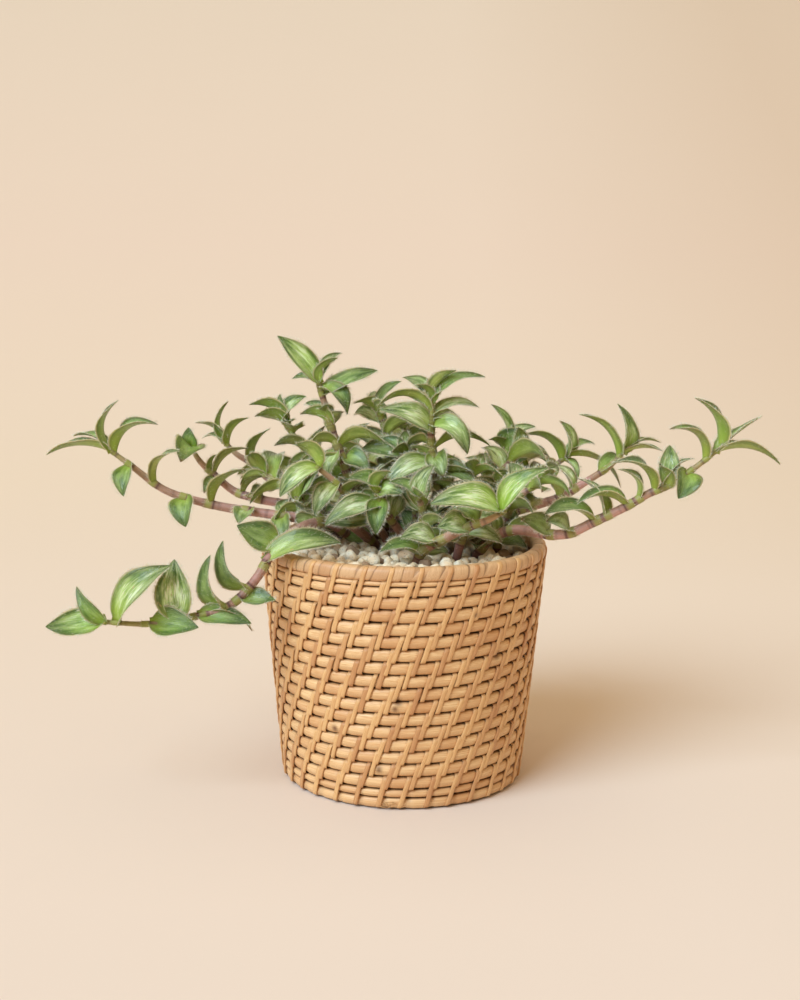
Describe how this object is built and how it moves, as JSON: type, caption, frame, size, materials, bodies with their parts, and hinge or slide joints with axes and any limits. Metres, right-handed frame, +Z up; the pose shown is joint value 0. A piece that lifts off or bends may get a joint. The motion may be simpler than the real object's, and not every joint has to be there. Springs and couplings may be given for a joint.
{
  "type": "potted tradescantia",
  "caption": "Bushy fuzzy-leaved tradescantia with trailing and upright leafy stems, rooted under pumice chips in a round lashed rattan basket pot.",
  "frame": {"origin": "centre of the basket's flat foot, on the surface that it stands on", "axes": "+Z up out of the pot; +X towards the long right-hand stem, -Y towards the viewer of the picture"},
  "size_m": [0.4162, 0.2081, 0.2566],
  "materials": {
    "rattan": "satin",
    "rattan_wrap": "satin",
    "liner_plastic": "matte",
    "potting_soil": "matte",
    "pumice": "matte",
    "foliage": "satin"
  },
  "bodies": {
    "root": {"basket": "rattan", "rim_hoop": "rattan_wrap", "liner_pot": "liner_plastic", "soil": "potting_soil", "pumice_topping": "pumice", "leafy_stem_left_long": "foliage", "leafy_stem_over_rim_left": "foliage", "leafy_stem_left_upper": "foliage", "leafy_stem_left_back": "foliage", "leafy_stem_left_inner": "foliage", "leafy_stem_upright_left": "foliage", "leafy_stem_upright_centre": "foliage", "leafy_stem_inner_left": "foliage", "leafy_stem_inner_front": "foliage", "leafy_stem_front": "foliage", "leafy_stem_front_short": "foliage", "leafy_stem_right_long": "foliage", "leafy_stem_right_upper": "foliage", "leafy_stem_right_back": "foliage", "leafy_stem_right_inner": "foliage", "leafy_shoot_centre_left": "foliage", "leafy_shoot_centre_back": "foliage", "leafy_shoot_centre": "foliage", "leafy_shoot_centre_front": "foliage", "leafy_shoot_centre_right": "foliage", "leafy_shoot_right_upper": "foliage", "leafy_shoot_back_left": "foliage", "leafy_shoot_back": "foliage", "leafy_shoot_trailing_back": "foliage", "leafy_shoot_trailing_back_right": "foliage", "leafy_shoot_trailing_back_left": "foliage", "leafy_shoot_right": "foliage", "leafy_shoot_left": "foliage"}
  },
  "joints": []
}
